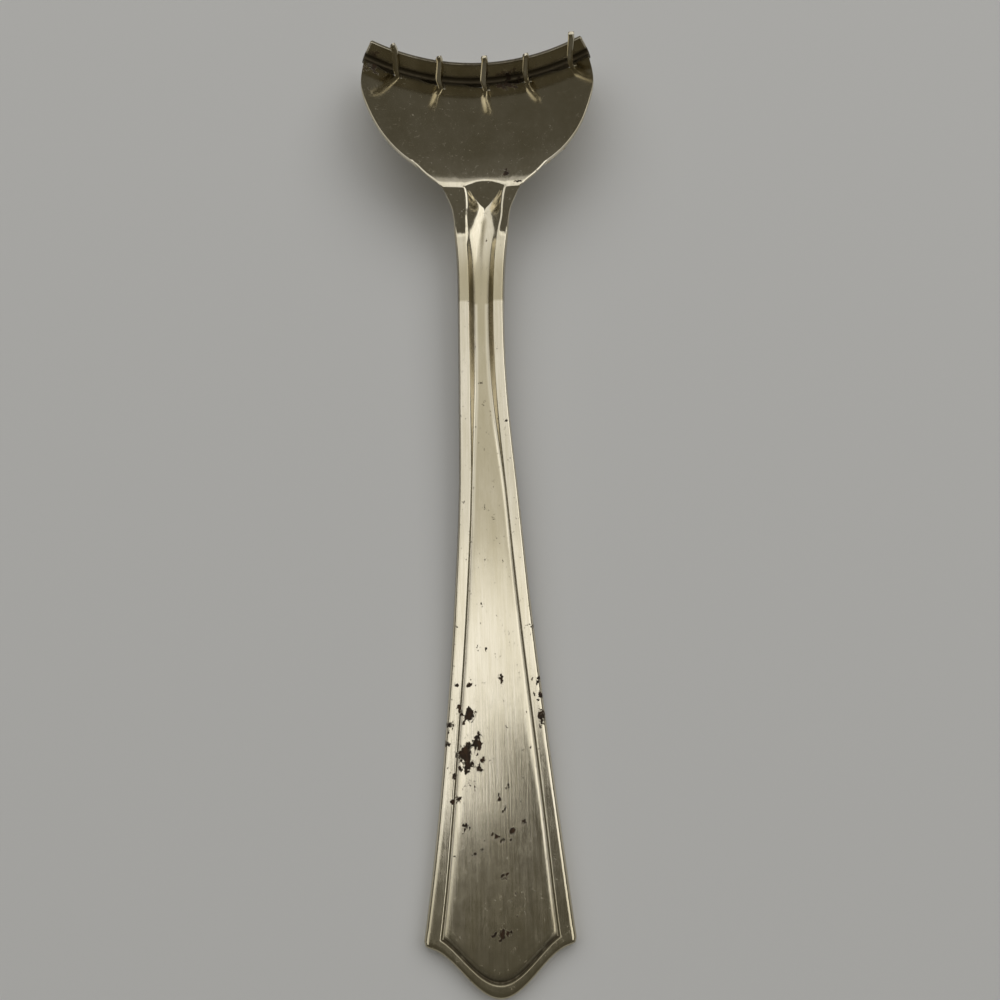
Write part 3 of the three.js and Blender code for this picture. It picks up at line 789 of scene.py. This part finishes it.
def plate_outline():
    runs = np.linspace(PLATE_START, CREASE, PLATE_ROWS)
    slopes = np.gradient(reach(runs), runs)
    lean = np.sqrt(1 + slopes ** 2)
    right = []
    for run, wide, slope, scale in zip(runs[1:-1], reach(runs)[1:-1], slopes[1:-1], lean[1:-1]):
        out = np.array([1, -slope]) / scale
        inset = np.array([wide, run]) - EDGE_ROUND * out
        if PLATE_START + CORNER_CLEAR < inset[1] < CREASE - CORNER_CLEAR:
            right.append((*inset, *out, EDGE_ROUND))
    left = [(-u, v, -out_u, out_v, proud) for u, v, out_u, out_v, proud in reversed(right)]
    first = EDGE_ROUND * lean[0]
    start = float(reach(PLATE_START)) - first
    end = tooth_reach - EDGE_ROUND
    base = along_line((-start, PLATE_START), (start, PLATE_START), PLATE_SPACING)[1:]
    return (
        [(-start, PLATE_START, -1, 0, first)] + edge(base) + [(start, PLATE_START, 1, 0, first)]
        + right + [(end, CREASE, 1, 0, EDGE_ROUND)]
        + edge(crease_edge(end, -end, PLATE_SPACING / 2)[1:])
        + [(-end, CREASE, -1, 0, EDGE_ROUND)] + left
    )


# Lip: flat place is the distance round the dish and the distance from the crease along the sheet
BEND_LENGTH = LIP_BEND * math.pi / 2


def on_lip(around, beyond):
    angle = around / DISH_RADIUS
    turn = np.clip((beyond - CREASE_FLAT) / LIP_BEND, 0, math.pi / 2)
    past = np.maximum(beyond - CREASE_FLAT - BEND_LENGTH, 0)
    run = CREASE + np.minimum(beyond, CREASE_FLAT) + LIP_BEND * np.sin(turn)
    raised = LIP_BEND * (1 - np.cos(turn)) + past
    off = np.cos(angle)[:, None] * OFF_PLATE - np.sin(angle)[:, None] * SIDEWAYS
    normal = np.cos(turn)[:, None] * off - np.sin(turn)[:, None] * ALONG_PLATE
    return on_dish(run, angle, raised), normal


# Distance along the sheet that lies at a height on the lip's wall
def up_lip(height):
    return CREASE_FLAT + BEND_LENGTH + height - LIP_BEND


def lip_outline():
    end = tooth_reach - EDGE_ROUND
    base = []
    start = -end
    for place_round in tooth_places:
        far = place_round - SLOT_LENGTH
        middle = place_round - SLOT_LENGTH / 2
        base += along_line((start, 0), (far, 0), LIP_SPACING)
        base += along_curve((far, 0), (middle, SLOT_NOTCH), (place_round, SLOT_NOTCH), NOTCH_STEPS)
        base += along_line((place_round, SLOT_NOTCH), (place_round, 0), LIP_SPACING)
        start = place_round
    base += along_line((start, 0), (end, 0), LIP_SPACING)
    corner = up_lip(LIP_TIP_HEIGHT) - LIP_EDGE - LIP_CORNER
    right = along_line((end, 0), (end, corner), LIP_SPACING)[1:]
    arc = []
    for t in np.linspace(0, math.pi / 2, CORNER_STEPS):
        out = (math.cos(t), math.sin(t))
        point = (end - LIP_CORNER + LIP_CORNER * out[0], corner + LIP_CORNER * out[1])
        arc.append((*point, *out, lerp(EDGE_ROUND, LIP_EDGE, out[1])))
    top = []
    last = end - LIP_CORNER - LIP_SPACING
    for around in np.linspace(last, -last, int(2 * last / LIP_SPACING)):
        height = lerp(LIP_HEIGHT, LIP_TIP_HEIGHT, (around / end) ** 2)
        top.append((around, up_lip(height) - LIP_EDGE, 0, 1, LIP_EDGE))
    rising = edge(right, (1, 0), EDGE_ROUND) + arc
    falling = [(-u, v, -out_u, out_v, proud) for u, v, out_u, out_v, proud in reversed(rising)]
    return (
        [(-end, 0, -1, 0, EDGE_ROUND)] + edge(base[1:]) + [(end, 0, 1, 0, EDGE_ROUND)]
        + rising + top + falling
    )


# Painted shade round the slots, by the distance round the dish and the distance from the crease
def slot_shade(around, off_crease):
    middles = [place_round - SLOT_LENGTH / 2 for place_round in tooth_places]
    round_slot = np.max([near(around - middle, SLOT_LENGTH / 2) for middle in middles], axis=0)
    return SLOT_SHADE * round_slot * near(off_crease, SLOT_SHADE_WIDTH)


def plate_wear_and_shade(around, run):
    # darker along the crease
    crease = CREASE_DARKENING * near(CREASE - run, CREASE_DARKENING_WIDTH)
    # painted shade round the slots
    grime_and_shade = np.maximum(crease, slot_shade(around, CREASE - run))
    return wear_and_shade(grime_and_shade, PLATE_TARNISH * smoothstep(run, *PLATE_WEAR_START), spots(head_rust, around, run))


def lip_wear_and_shade(around, beyond):
    # darker just past the lip's bend
    crease = CREASE_DARKENING * near(np.maximum(beyond - BEND_LENGTH, 0), CREASE_DARKENING_WIDTH)
    top = TOP_GRIME * near(up_lip(LIP_HEIGHT) - beyond, TOP_GRIME_WIDTH)
    # painted shade round the slots
    grime_and_shade = np.maximum(np.maximum(crease, top), slot_shade(around, beyond))
    return wear_and_shade(grime_and_shade, LIP_TARNISH, spots(head_rust, around, CREASE + beyond))


def tooth_marks(minus_out, along):
    # darker towards the root of the tooth
    return wear_and_shade(ROOT_DARKENING * near(minus_out, ROOT_DARKENING_WIDTH), TOOTH_TARNISH, 0 * along)


def blade_thickness(minus_out):
    return lerp(SHEET, BLADE_SHEET, smoothstep(-minus_out, HINGE, HINGE + 2))


def even_thickness(around):
    return np.full(len(around), SHEET)


# Tooth: a tongue of the sheet bent up until it stands upright, narrowing to a blunt point by the lip
def tooth_surface(place_round, root, height, curl, twist):
    angle = place_round / DISH_RADIUS
    origin = on_dish(np.array(CREASE), np.array(angle), 0)
    sideways = math.cos(angle) * SIDEWAYS + math.sin(angle) * OFF_PLATE
    off = math.cos(angle) * OFF_PLATE - math.sin(angle) * SIDEWAYS
    full_turn = math.pi / 2 + angle
    bend = TOOTH_BEND * full_turn
    blade = height - TOOTH_BEND

    # Flat place: minus the distance from the hinge along the tongue, and the distance from the crease
    def surface(minus_out, along):
        out = -minus_out
        turn = np.clip((out - ROOT_FLAT) / TOOTH_BEND, 0, full_turn)
        up = np.maximum(out - ROOT_FLAT - bend, 0)
        hooked = np.maximum(up / blade - HOOK_START, 0) / (1 - HOOK_START)
        lean = 2 * curl * hooked / (blade * (1 - HOOK_START))
        x = HINGE - np.minimum(out, ROOT_FLAT) - TOOTH_BEND * np.sin(turn) - up * math.cos(full_turn)
        x = x - curl * hooked ** 2
        z = TOOTH_BEND * (1 - np.cos(turn)) + up * math.sin(full_turn)
        spin = twist * smoothstep(up / blade, 0, TWIST_END)
        middle = -TOOTH_GAP - root / 2
        x, along = x + (along - middle) * np.sin(spin), middle + (along - middle) * np.cos(spin)
        point = origin + x[:, None] * sideways + along[:, None] * ALONG_PLATE + z[:, None] * off
        turned = turn - np.arctan(lean)
        side = np.cos(spin)[:, None] * sideways - np.sin(spin)[:, None] * ALONG_PLATE
        normal = np.sin(turned)[:, None] * side + np.cos(turned)[:, None] * off
        return point, normal

    return surface, ROOT_FLAT + bend + blade


def tooth_outline(root, length, height):
    narrow_from = length - (height - TOOTH_BEND)
    near_root = -TOOTH_GAP - root
    outs = np.linspace(0, length - TOOTH_ROUND, BLADE_ROWS)
    widths = lerp(root, min(root, TOOTH_TIP), smoothstep(outs, narrow_from, length))
    near = [(-out, -TOOTH_GAP - width + TOOTH_ROUND, 0, -1, TOOTH_ROUND) for out, width in zip(outs, widths)]
    far = [(-out, -TOOTH_GAP - TOOTH_ROUND, 0, 1, TOOTH_ROUND) for out in outs]
    root_line = along_line((0, near_root + TOOTH_ROUND), (0, -TOOTH_GAP - TOOTH_ROUND), TOOTH_SPACING)[1:]
    tip = (-outs[-1], -TOOTH_GAP - TOOTH_TIP / 2, -1, 0, TOOTH_ROUND)
    return edge(root_line) + far + [tip] + near[::-1]


# Shader helpers
class Shader:
    def __init__(self, name):
        self.material = bpy.data.materials.new(name)
        self.material.use_nodes = True
        self.tree = self.material.node_tree
        self.tree.nodes.clear()

    def node(self, kind, inputs=None, **settings):
        node = self.tree.nodes.new("ShaderNode" + kind)
        for key, value in settings.items():
            setattr(node, key, value)
        for socket, value in (inputs or {}).items():
            if isinstance(value, bpy.types.NodeSocket):
                self.tree.links.new(value, node.inputs[socket])
            else:
                node.inputs[socket].default_value = value
        return node

    def noise(self, vector, scale, detail=4.0, rough=0.55):
        stretched = self.node("Mapping", {"Vector": vector, "Scale": scale}).outputs[0]
        settings = {"Vector": stretched, "Scale": 1.0, "Detail": detail, "Roughness": rough}
        return self.node("TexNoise", settings).outputs["Fac"]

    def math(self, operation, a, b):
        return self.node("Math", {0: a, 1: b}, operation=operation).outputs[0]

    def range(self, value, low, high, to_low=0.0, to_high=1.0):
        inputs = {"Value": value, "From Min": low, "From Max": high, "To Min": to_low, "To Max": to_high}
        return self.node("MapRange", inputs, interpolation_type="SMOOTHSTEP").outputs[0]

    def mix(self, share, a, b):
        node = self.node("Mix", {"Factor": share}, data_type="RGBA")
        for socket, value in ((node.inputs[6], a), (node.inputs[7], b)):
            if isinstance(value, bpy.types.NodeSocket):
                self.tree.links.new(value, socket)
            else:
                socket.default_value = (*value, 1.0)
        return node.outputs[2]


CLEAN = (0.82, 0.76, 0.62)
TARNISH = (0.66, 0.60, 0.45)
OLIVE = (0.42, 0.37, 0.24)
GRIME_AND_SHADE = (0.085, 0.07, 0.045)
RUST = (0.028, 0.018, 0.010)
RED_RUST = (0.065, 0.034, 0.016)


# Worn warm plating, darkened where grime and painted shade lie: brushed on the handle and neck, smoother on
# the head
def plated_steel(name, brushing):
    shader = Shader(name)
    place = shader.node("TexCoord").outputs["Object"]
    strokes = shader.noise(place, (9000, 60, 9000), 3.0, 0.6)
    streaks = shader.noise(place, (2200, 14, 2200), 3.0, 0.55)
    patches = shader.noise(place, (170, 45, 170), 5.0, 0.6)
    mottle = shader.noise(place, (900, 500, 900), 5.0, 0.65)
    flecks = shader.noise(place, (2600, 2000, 2600), 4.0, 0.7)
    grime_and_shade_at, tarnish_at, rust_at = (
        shader.node("Attribute", attribute_name=kind).outputs["Fac"] for kind in ("grime_and_shade", "tarnish", "rust"))

    # the grime channel holds real grime and painted shade
    grime_and_shade = shader.math("MULTIPLY", grime_and_shade_at, shader.range(mottle, 0.25, 0.6, 0.7, 1.0))
    tarnish = shader.math("MULTIPLY", tarnish_at, shader.range(patches, 0.25, 0.65, 0.7, 1.0))
    ragged = shader.math("ADD", shader.range(flecks, 0.25, 0.75, -0.35, 0.35),
                         shader.range(mottle, 0.3, 0.7, -0.3, 0.3))
    rusty = shader.math("ADD", rust_at, ragged)
    rust = shader.range(rusty, 0.44, 0.56)

    dulled = shader.math("ADD", patches, shader.math("MULTIPLY", streaks, 0.3 + 0.4 * brushing))
    colour = shader.mix(shader.range(dulled, 0.45, 0.95 + 0.25 * brushing), CLEAN, TARNISH)
    colour = shader.mix(tarnish, colour, OLIVE)
    # grime and painted shade darken the colour
    colour = shader.mix(grime_and_shade, colour, GRIME_AND_SHADE)
    colour = shader.mix(rust, colour, shader.mix(shader.range(mottle, 0.45, 0.7), RUST, RED_RUST))

    rough = shader.math("ADD", shader.range(strokes, 0.3, 0.7, 0.01, 0.01 + 0.06 * brushing),
                        shader.range(mottle, 0.3, 0.75, 0.05, 0.1))
    rough = shader.math("ADD", rough, shader.math("MULTIPLY", tarnish, 0.07))
    rough = shader.math("ADD", rough, shader.math("MULTIPLY", grime_and_shade, 0.35))
    rough = shader.math("ADD", rough, shader.math("MULTIPLY", rust, 0.6))
    metal = shader.math("SUBTRACT", 1.0, rust)

    grain = shader.math("ADD", shader.math("MULTIPLY", strokes, 0.6), streaks)
    fine = shader.node("Bump", {"Strength": 1.0, "Distance": 0.6e-5 * brushing, "Height": grain})
    wavy = shader.node("Bump", {
        "Strength": 1.0, "Distance": 1.2e-5 - 0.9e-5 * brushing, "Height": mottle, "Normal": fine.outputs[0]})
    pitted = shader.math("MULTIPLY", rust, shader.range(flecks, 0.3, 0.7, 0.4, 1.0))
    bump = shader.node(
        "Bump", {"Strength": 1.0, "Distance": 6e-5, "Height": pitted, "Normal": wavy.outputs[0]})
    surface = shader.node("BsdfPrincipled", {
        "Base Color": colour, "Metallic": metal, "Roughness": rough, "Normal": bump.outputs[0],
        "Specular IOR Level": 0.25})
    output = shader.node("OutputMaterial")
    shader.tree.links.new(surface.outputs[0], output.inputs["Surface"])
    return shader.material


satin = plated_steel("satin_plating", 1.0)
polished = plated_steel("polished_plating", 0.15)


def finish_piece(piece, material):
    piece.data.materials.append(material)


for piece in (grid_mesh("handle", handle_grid, False), grid_mesh("neck", neck_grid, True)):
    finish_piece(piece, satin)
plate = sheet_mesh(
    "scoop_plate", plate_outline(), on_plate, PLATE_SPACING, plate_wear_and_shade, even_thickness, UNDERCUT)
lip = sheet_mesh("scraper_lip", lip_outline(), on_lip, LIP_SPACING, lip_wear_and_shade, even_thickness, 0)
for piece in (plate, lip):
    finish_piece(piece, polished)
for i, place_round in enumerate(tooth_places):
    root, height = TOOTH_ROOTS[i], TOOTH_HEIGHTS[i]
    surface, length = tooth_surface(place_round, root, height, TOOTH_CURLS[i], TOOTH_TWISTS[i])
    outline = tooth_outline(root, length, height)
    name = f"slitting_tooth_{i + 1}"
    tooth = sheet_mesh(name, outline, surface, TOOTH_SPACING, tooth_marks, blade_thickness, 0)
    finish_piece(tooth, polished)


# Stage
FLOOR_COLOUR = (0.70, 0.70, 0.69)


def add_floor(size=8.0):
    mesh = bpy.data.meshes.new("floor")
    corners = [(-size, -size, 0), (size, -size, 0), (size, size, 0), (-size, size, 0)]
    mesh.from_pydata(corners, [], [(0, 1, 2, 3)])
    floor = bpy.data.objects.new("floor", mesh)
    bpy.context.scene.collection.objects.link(floor)
    paper = Shader("pale_paper")
    surface = paper.node("BsdfPrincipled", {"Base Color": (*FLOOR_COLOUR, 1), "Roughness": 0.9})
    output = paper.node("OutputMaterial")
    paper.tree.links.new(surface.outputs[0], output.inputs["Surface"])
    mesh.materials.append(paper.material)


# Ceiling panel that shines straight down: low and high corner in plan, radiance of its face
def add_panel(name, low, high, brightness):
    width, depth = high[0] - low[0], high[1] - low[1]
    light = bpy.data.lights.new(name, "AREA")
    light.shape = "RECTANGLE"
    light.size, light.size_y = width, depth
    light.energy = brightness * math.pi * width * depth
    lamp = bpy.data.objects.new(name, light)
    lamp.location = ((low[0] + high[0]) / 2, (low[1] + high[1]) / 2, CEILING)
    bpy.context.scene.collection.objects.link(lamp)


CAMERA_PLACE = (0.00037, -0.07754, 0.181)
CAMERA_DOWN = math.radians(69.4)
CAMERA_ASIDE = 0.0286  # how far right the camera looks, for each unit ahead
CAMERA_LENS = 36  # on a sensor as wide


def add_camera():
    camera = bpy.data.cameras.new("camera")
    camera.sensor_fit = "HORIZONTAL"
    camera.sensor_width = CAMERA_LENS
    camera.lens = CAMERA_LENS
    camera.clip_start = 0.005
    holder = bpy.data.objects.new("camera", camera)
    ahead = math.cos(CAMERA_DOWN)
    look = Vector((ahead * CAMERA_ASIDE, ahead, -math.sin(CAMERA_DOWN)))
    holder.location = CAMERA_PLACE
    holder.rotation_euler = look.to_track_quat("-Z", "Y").to_euler()
    bpy.context.scene.collection.objects.link(holder)
    bpy.context.scene.camera = holder


def add_room(radiance):
    world = bpy.data.worlds.new("room")
    world.use_nodes = True
    world.node_tree.nodes["Background"].inputs["Color"].default_value = (*radiance, 1)
    bpy.context.scene.world = world


CEILING = 2.0  # height of the panels
FRONT, BACK, FADE = -0.7, 3.5, 4.8  # how far the panels reach before and behind the tool
LEFT_START, RIGHT_START = -0.04, 0.08  # where the near panels start, short of the handle end
NEAR, FAR = 0.46, 1.25  # where the middle panels change in brightness
WIDE = 3.5  # half width of all panels together
SIDE = 1.0  # half width of the middle panels
# Name, low and high corner in plan, radiance
PANELS = [
    ("near_left", (-SIDE, LEFT_START), (0, NEAR), 1.0),
    ("near_right", (0, RIGHT_START), (SIDE, NEAR), 1.0),
    ("middle", (-SIDE, NEAR), (SIDE, FAR), 0.75),
    ("far", (-SIDE, FAR), (SIDE, BACK), 0.9),
    ("left", (-WIDE, FRONT), (-SIDE, BACK), 0.75),
    ("right", (SIDE, FRONT), (WIDE, BACK), 1.2),
    ("behind", (-2.0, BACK), (2.0, FADE), 0.35),
]

add_floor()
add_room((0.1, 0.094, 0.078))
for panel in PANELS:
    add_panel(*panel)
add_camera()
bpy.context.scene.view_settings.view_transform = "Standard"
